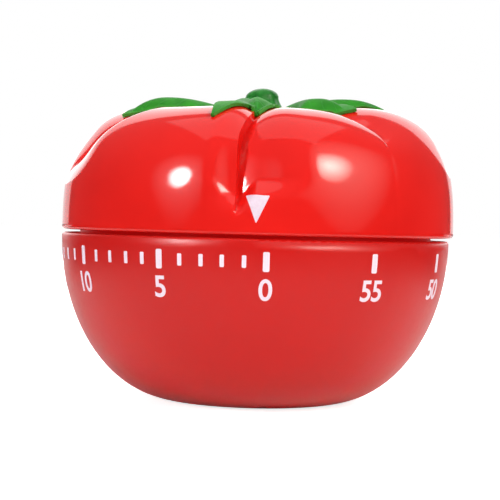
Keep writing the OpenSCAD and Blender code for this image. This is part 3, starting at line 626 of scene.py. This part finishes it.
FINISHES = {
    "upper_shell": gloss_red(),
    "lower_shell": satin_red(),
    "deck": deck_red(),
    "leaves": leaf_green(),
    "stem": stem_green(),
    "plates": metal("brushed zinc plate", rgb(0.50, 0.49, 0.46), rgb(0.66, 0.65, 0.62),
                    0.3, 0.46, 300, (1, 14, 14)),
    "pillars": metal("turned steel", rgb(0.52, 0.52, 0.53), rgb(0.68, 0.68, 0.69),
                     0.22, 0.36, 300, (1, 1, 16)),
    "screws": metal("zinc plated screw", rgb(0.48, 0.49, 0.50), rgb(0.62, 0.63, 0.64),
                    0.26, 0.4, 420, (1, 1, 6)),
    "arbors": metal("ground steel arbor", rgb(0.44, 0.45, 0.47), rgb(0.58, 0.59, 0.61),
                    0.18, 0.3, 400, (1, 1, 18)),
    "wheels": metal("stamped brass", rgb(0.60, 0.42, 0.15), rgb(0.76, 0.56, 0.24),
                    0.24, 0.4, 350, (8, 1, 1)),
    "spring_steel": metal("blued spring steel", rgb(0.19, 0.21, 0.28), rgb(0.28, 0.30, 0.36),
                          0.2, 0.34, 380, (1, 1, 12)),
    "bell": metal("nickelled bell", rgb(0.62, 0.61, 0.62), rgb(0.74, 0.74, 0.76),
                  0.1, 0.2, 260, (1, 1, 10)),
}
SCALE_INK = white_ink("white scale ink", rgb(0.92, 0.78, 0.92), rgb(0.95, 0.84, 0.96))
POINTER_INK = white_ink("white pointer ink", rgb(0.80, 0.64, 0.78), rgb(0.83, 0.71, 0.84))
slots = {part["node"]: part["material_slot"] for part in frame["record"]["subparts"]}
for node, solid in frame["nodes"].items():
    finish = FINISHES[slots[node]]
    if not solid.material_slots:
        solid.data.materials.append(finish)
    for material_slot in solid.material_slots:
        material_slot.material = finish


def dress(piece, finish, body):
    """Gives the piece its finish, and a body to ride on."""
    piece.data.materials.clear()
    piece.data.materials.append(finish)
    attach(piece, body)


def stand_for(node):
    """Hides a plain solid, so that only the piece made for it shows."""
    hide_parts(node)


# ---- upper shell ----

def skin_outline(inset, rows, first):
    """Points (r, h) of the meridian from the rim up to the hole, moved in by inset."""
    shrink = (TIMER_R - inset - CREST_R) / (TIMER_R - CREST_R)
    points = []
    for i in range(rows + 1):
        r, h = meridian(first + (1 - first) * (i / rows) ** ROW_CROWDING)
        if r > CREST_R:
            points.append((CREST_R + (r - CREST_R) * shrink, h * (DOME_H - inset) / DOME_H))
        else:
            points.append((r, h - inset))
    return points


def tomato_top():
    """A plain dome is spun, then its columns are shared out over the lobes and pressed to shape."""
    outer = skin_outline(0, OUTER_ROWS, OUTER_FIRST)
    inner = skin_outline(WALL, INNER_ROWS, INNER_FIRST)
    rim = []
    for i in range(5):
        a = math.radians(22.5 * i)
        rim.append((TIMER_R - RIM_ROUND * (1 - math.sin(a)), RIM_ROUND * (1 - math.cos(a))))
    outline = [(TIMER_R - WALL, 0)] + rim + outer + [(HOLE_R, outer[-1][1])]
    outline += [(HOLE_R, inner[-1][1])] + inner[::-1] + [(TIMER_R - WALL, 0)]
    shell = spun("tomato_top", outline, SHELL_COLUMNS)
    per_lobe = SHELL_COLUMNS // LOBES
    for vertex in shell.data.vertices:
        x, y, h = vertex.co
        column = round(math.atan2(y, x) / (2 * math.pi) * SHELL_COLUMNS) % SHELL_COLUMNS
        lobe, u = divmod(column, per_lobe)
        u /= per_lobe
        t = u / 2 + (1 - math.cos(math.pi * u)) / 4     # closer together near a crease
        vertex.co = dome_point(math.hypot(x, y), h, lobe, t)
    shell.data.update()
    smooth(shell, 50)
    dress(shell, FINISHES["upper_shell"], "dial")
    stand_for("upper_shell")
    return shell


tomato = tomato_top()


# ---- lower shell ----

def tomato_bottom():
    """The bowl's own mesh, welded so that its round surfaces shade smoothly."""
    bowl = frame["nodes"]["lower_shell"].copy()
    bowl.data = bowl.data.copy()
    bowl.name = bowl.data.name = "tomato_bottom"
    bpy.context.scene.collection.objects.link(bowl)
    work_on(bowl)
    bpy.ops.object.mode_set(mode="EDIT")
    bpy.ops.mesh.select_all(action="SELECT")
    bpy.ops.mesh.remove_doubles(threshold=0.001 * MM)
    bpy.ops.object.mode_set(mode="OBJECT")
    smooth(bowl, 30)
    dress(bowl, FINISHES["lower_shell"], "base")
    stand_for("lower_shell")


tomato_bottom()


# ---- printing ----

def bar_print(name, width, height):
    """A flat upright bar of ink with soft corners, cut fine enough to be laid on a curve."""
    deselect()
    bpy.ops.mesh.primitive_plane_add(size=1)
    piece = named(name)
    piece.scale = (width, height, 1)
    settle(piece)
    bpy.ops.object.mode_set(mode="EDIT")
    bpy.ops.mesh.select_all(action="SELECT")
    bpy.ops.mesh.bevel(offset=0.22 * width, segments=3, affect="VERTICES", clamp_overlap=True)
    bpy.ops.mesh.select_all(action="SELECT")
    bpy.ops.mesh.quads_convert_to_tris()
    bpy.ops.mesh.subdivide(number_cuts=2)
    bpy.ops.object.mode_set(mode="OBJECT")
    return piece


def number_print(text):
    """A number as a flat mesh round the origin, DIGIT_H high."""
    deselect()
    bpy.ops.object.text_add()
    piece = bpy.context.object
    piece.data.body = text
    piece.data.size = 1.0
    piece.data.align_x = "CENTER"
    piece.data.resolution_u = 6
    piece.data.offset = DIGIT_BOLD
    piece.data.space_character = DIGIT_SPACING
    work_on(piece)
    bpy.ops.object.convert(target="MESH")
    piece = named("number_" + text)
    across = [v.co.x for v in piece.data.vertices]
    up = [v.co.y for v in piece.data.vertices]
    size = DIGIT_H / (max(up) - min(up))
    wide = size * DIGIT_WIDE
    piece.scale = (wide, size, 1)
    piece.location = (-wide * (min(across) + max(across)) / 2, -size * (min(up) + max(up)) / 2, 0)
    settle(piece)
    bpy.ops.object.mode_set(mode="EDIT")
    bpy.ops.mesh.select_all(action="SELECT")
    bpy.ops.mesh.remove_doubles(threshold=0.002 * MM)
    bpy.ops.mesh.quads_convert_to_tris()
    bpy.ops.mesh.subdivide(number_cuts=2)
    bpy.ops.object.mode_set(mode="OBJECT")
    return piece


def lay_on_bowl(piece, angle, z):
    """Bends a flat piece of ink onto the bowl, its middle at that angle and height."""
    for vertex in piece.data.vertices:
        up = z + vertex.co.y
        r = bowl_r(up)
        point = polar(r, FRONT + angle + math.degrees(vertex.co.x / r))
        point.z = up
        vertex.co = point
    return piece


def ink_coat(piece):
    """Gives flat ink a body: half of it stands proud."""
    work_on(piece)
    bpy.ops.object.mode_set(mode="EDIT")
    bpy.ops.mesh.select_all(action="SELECT")
    bpy.ops.mesh.normals_make_consistent(inside=False)
    bpy.ops.object.mode_set(mode="OBJECT")
    modify(piece, "SOLIDIFY", thickness=2 * INK_PROUD, offset=0, use_even_offset=False)
    smooth(piece, 40)


def minute_scale():
    """All ticks and numbers of the lower shell, which run to the left from zero."""
    parts = []
    for minute in range(60):
        angle = SCALE_ZERO - MINUTE * minute + DRIFT.get(minute, 0)
        name = "tick_" + str(minute)
        if minute % 5 == 0:
            parts.append(lay_on_bowl(bar_print(name, *FIVE_TICK), angle, TICK_Z))
            parts.append(lay_on_bowl(number_print(str(minute)), angle, DIGIT_Z))
        elif minute < MINUTE_TICKS_END:
            parts.append(lay_on_bowl(bar_print(name, *MINUTE_TICK), angle, TICK_Z))
    scale = joined("minute_scale", parts)
    ink_coat(scale)
    dress(scale, SCALE_INK, "base")


def pointer_print():
    """The white arrow on the upper shell, which points down at the scale."""
    deselect()
    bpy.ops.mesh.primitive_circle_add(vertices=3, radius=1, fill_type="NGON")
    piece = named("pointer")
    for vertex, corner in zip(piece.data.vertices, POINTER):
        vertex.co = Vector((corner[0], corner[1], 0))
    work_on(piece)
    bpy.ops.object.mode_set(mode="EDIT")
    bpy.ops.mesh.select_all(action="SELECT")
    bpy.ops.mesh.bevel(offset=0.22 * MM, segments=3, affect="VERTICES")
    bpy.ops.mesh.select_all(action="SELECT")
    bpy.ops.mesh.quads_convert_to_tris()
    bpy.ops.mesh.subdivide(number_cuts=14)
    bpy.ops.object.mode_set(mode="OBJECT")
    for vertex in piece.data.vertices:
        h = vertex.co.y - UPPER_RIM
        vertex.co = dome_side(h, math.degrees(vertex.co.x / TIMER_R))
    ink_coat(piece)
    dress(piece, POINTER_INK, "dial")


minute_scale()
pointer_print()


# ---- calyx and stem ----

def ridge_z(t, peak, peak_at, tip):
    """Height of a leaf's midrib at a share t of its length: over the arch, down to the tip."""
    if t < peak_at:
        return CALYX_TOP + (peak - CALYX_TOP) * math.sin(math.pi / 2 * t / peak_at)
    return peak - (peak - tip) * (1 - math.cos(math.pi / 2 * (t - peak_at) / (1 - peak_at))) ** 1.35


def waves(form, t, side):
    """Waves along a leaf; form is their depth, number and the shift from one side to the other."""
    depth, number, shift = form
    return depth * math.sin(2 * math.pi * (t * number + shift * side))


def leaf_half_width(t, side, width):
    """Half a leaf's width at a share t of its length, on the side -1 or 1."""
    if t < LEAF_WIDEST:
        form = ease(t / LEAF_WIDEST)
        half = width / 2 * (LEAF_NECK + (1 - LEAF_NECK) * form)
    else:
        form = max(LEAF_END, math.sin(math.pi / 2 * (1 - t) / (1 - LEAF_WIDEST))) ** 0.75
        half = width / 2 * form
    return half * (1 + waves(EDGE_WAVE, t, side) * form)


def leaf_blade(name, direction, reach, width, peak, peak_at, tip, bend, fold):
    """One leaf: a fine sheet laid out on its map, arched over the lobes and kept clear of them."""
    deselect()
    bpy.ops.mesh.primitive_grid_add(x_subdivisions=LEAF_ROWS, y_subdivisions=LEAF_COLUMNS, size=2)
    blade = named(name)
    for vertex in blade.data.vertices:
        t = (vertex.co.x + 1) / 2
        across = vertex.co.y
        half = leaf_half_width(t, math.copysign(1, across), width)
        turn = FRONT + direction + bend * t * t
        spot = polar(LEAF_START + (reach - LEAF_START) * t, turn) + polar(half * across, turn + 90)
        spot.z = ridge_z(t, peak, peak_at, tip) + waves(RIPPLE, t, across) * abs(across)
        spot.z -= fold * abs(across) ** 1.5 * min(1, 2.2 * half / width)    # less at the tip
        met, ground, _, _ = tomato.ray_cast(Vector((spot.x, spot.y, 0.1)), Vector((0, 0, -1)))
        if met:
            spot.z = max(spot.z, ground.z + LEAF_T + LEAF_CLEAR)
        vertex.co = spot
    blade.data.update()
    modify(blade, "SOLIDIFY", thickness=LEAF_T, offset=-1, use_even_offset=False)
    modify(blade, "BEVEL", width=0.12 * MM, segments=2, limit_method="ANGLE",
           angle_limit=math.radians(50))
    return blade


def calyx_leaves():
    """All leaves, as one piece."""
    blades = [leaf_blade("leaf_" + str(i), *leaf) for i, leaf in enumerate(LEAVES)]
    leaves = joined("calyx_leaves", blades)
    smooth(leaves, 50)
    dress(leaves, FINISHES["leaves"], "dial")
    stand_for("calyx")


def calyx_button():
    """The round middle that the leaves grow from."""
    outline = [(0, SEAT_Z), (BUTTON_R - 0.2 * MM, SEAT_Z), (BUTTON_R, SEAT_Z + 0.2 * MM)]
    for i in range(7):
        a = math.radians(15 * i)
        outline.append((BUTTON_R - BUTTON_ROUND * (1 - math.cos(a)),
                        CALYX_TOP - BUTTON_ROUND * (1 - math.sin(a))))
    outline.append((0, CALYX_TOP))
    button = spun("calyx_button", outline, 72)
    smooth(button, 60)
    dress(button, FINISHES["stem"], "dial")
    stand_for("calyx")


def stem_knob():
    """A stub with a round top, shallow flutes and a flared foot, which leans to the right."""
    outline = [(0, CALYX_TOP), (STEM_FOOT_R, CALYX_TOP)]
    for i in range(1, 9):
        u = i / 8
        outline.append((STEM_R + (STEM_FOOT_R - STEM_R) * (1 - u) ** 1.25,
                        CALYX_TOP + (STEM_SHOULDER - CALYX_TOP) * u))
    for i in range(1, 12):
        a = math.radians(7.5 * i)
        outline.append((STEM_R * math.cos(a),
                        STEM_SHOULDER + (STEM_TOP - STEM_SHOULDER) * math.sin(a)))
    outline.append((0, STEM_TOP))
    knob = spun("stem_knob", outline, 96)
    for vertex in knob.data.vertices:
        up = (vertex.co.z - CALYX_TOP) / (STEM_TOP - CALYX_TOP)
        turn = math.atan2(vertex.co.y, vertex.co.x)
        depth = FLUTE_DEPTH * min(1.0, vertex.co.xy.length / STEM_R) * (1 - up * up)
        flute = 1 + depth * math.cos(FLUTES * turn)
        vertex.co.x = vertex.co.x * flute + STEM_LEAN * up
        vertex.co.y *= flute
    knob.data.update()
    smooth(knob, 60)
    dress(knob, FINISHES["stem"], "dial")
    stand_for("stem")


calyx_leaves()
calyx_button()
stem_knob()


# ---- floor, room and lamps ----

PAPER_EDGE = (0.10, 0.20)   # how far in front of the timer the paper ends on a dark table


def floor():
    """White paper round the timer and behind it; the camera sees it white all over."""
    deselect()
    bpy.ops.mesh.primitive_plane_add(size=6, location=(0, 0, -0.1 * MM))
    ground = named("floor")
    m = Finish("white paper floor")
    place = m.place()
    away = m.node("ShaderNodeVectorMath", {"operation": "LENGTH"}, {0: place}, "Value")
    x, y = [m.node("ShaderNodeSeparateXYZ", {}, {"Vector": place}, axis) for axis in "XY"]
    edge = m.ease(away, *PAPER_EDGE) * m.ease(y - abs(x), 0.04, -0.04)
    paper = m.node("ShaderNodeBsdfDiffuse", {}, {"Color": rgb(0.9, 0.9, 0.9)})
    table = m.node("ShaderNodeBsdfDiffuse", {}, {"Color": rgb(0.05, 0.05, 0.05)})
    laid = m.node("ShaderNodeMixShader", {}, {0: edge, 1: paper, 2: table})
    glow = m.node("ShaderNodeEmission", {}, {"Color": rgb(1, 1, 1), "Strength": 0.8})
    white = m.node("ShaderNodeAddShader", {}, {0: paper, 1: glow})
    seen = m.node("ShaderNodeLightPath", output="Is Camera Ray")
    m.node("ShaderNodeOutputMaterial", {}, {
        "Surface": m.node("ShaderNodeMixShader", {}, {0: seen, 1: laid, 2: white})})
    ground.data.materials.append(m.owner)


def room():
    """Dim room; the camera sees it white."""
    world = bpy.data.worlds.new("room")
    bpy.context.scene.world = world
    m = Finish("room", world)
    way = m.node("ShaderNodeTexCoord", output="Generated")
    up = m.node("ShaderNodeSeparateXYZ", {}, {"Vector": way}, "Z")
    seen = m.node("ShaderNodeLightPath", output="Is Camera Ray")
    strength = seen + (1 - seen) * (0.1 + m.ease(up, 0.0, 0.9) * 0.2)
    sky = m.node("ShaderNodeBackground", {}, {"Color": rgb(1, 1, 1), "Strength": strength})
    m.node("ShaderNodeOutputWorld", {}, {"Surface": sky})


LIT_MIDDLE = Vector((0, 0, 0.035))      # where the lamps aim
WARM = (1, 0.93, 0.84)


def softbox(name, turn, lift, away, wide, high, radiance, fade=90, shape="RECTANGLE",
            colour=(1, 1, 1)):
    """A lamp that faces the timer. Turn is 0 behind it and 90 to its right; wide and high are half
    angles, and with fade the light dies out towards that angle off its middle."""
    turn, lift, fade = math.radians(turn), math.radians(lift), math.radians(fade)
    way = Vector((math.cos(lift) * math.sin(turn), math.cos(lift) * math.cos(turn), math.sin(lift)))
    data = bpy.data.lights.new(name, "AREA")
    data.shape = shape
    data.size = 2 * away * math.tan(math.radians(wide))
    data.size_y = 2 * away * math.tan(math.radians(high))
    data.spread = 2 * fade
    face = data.size * data.size_y * (math.pi / 4 if shape == "ELLIPSE" else 1)
    gain = 1 if data.spread > 3 else math.tan(fade) / (math.tan(fade) - fade)
    data.energy = radiance * math.pi * face / gain
    data.color = colour
    lamp = bpy.data.objects.new(name, data)
    bpy.context.scene.collection.objects.link(lamp)
    facing = (-way).to_track_quat("-Z", "Y").to_matrix().to_4x4()
    lamp.matrix_world = Matrix.Translation(LIT_MIDDLE + way * away) @ facing
    lamp.visible_camera = False


floor()
room()
softbox("ceiling", turn=0, lift=90, away=0.53, wide=27, high=27, radiance=0.67)
softbox("backdrop", turn=-4, lift=26, away=0.8, wide=43, high=24.5, radiance=1.6, shape="ELLIPSE")
softbox("backdrop_foot", turn=-4, lift=8, away=0.8, wide=34, high=9, radiance=0.9)
softbox("key", turn=-134.2, lift=19, away=0.6, wide=6.9, high=7.3, radiance=66, fade=8.5,
        shape="ELLIPSE")
softbox("key_edge", turn=-134.2, lift=19.5, away=0.6, wide=20, high=20, radiance=2.2, fade=20,
        shape="ELLIPSE")
softbox("glow", turn=132.5, lift=31, away=0.8, wide=12.5, high=13.5, radiance=22, fade=14,
        shape="ELLIPSE", colour=WARM)
softbox("glow_edge", turn=125, lift=29, away=0.8, wide=34, high=30, radiance=2.8, fade=33,
        shape="ELLIPSE", colour=WARM)
bpy.context.scene.view_settings.view_transform = "Standard"
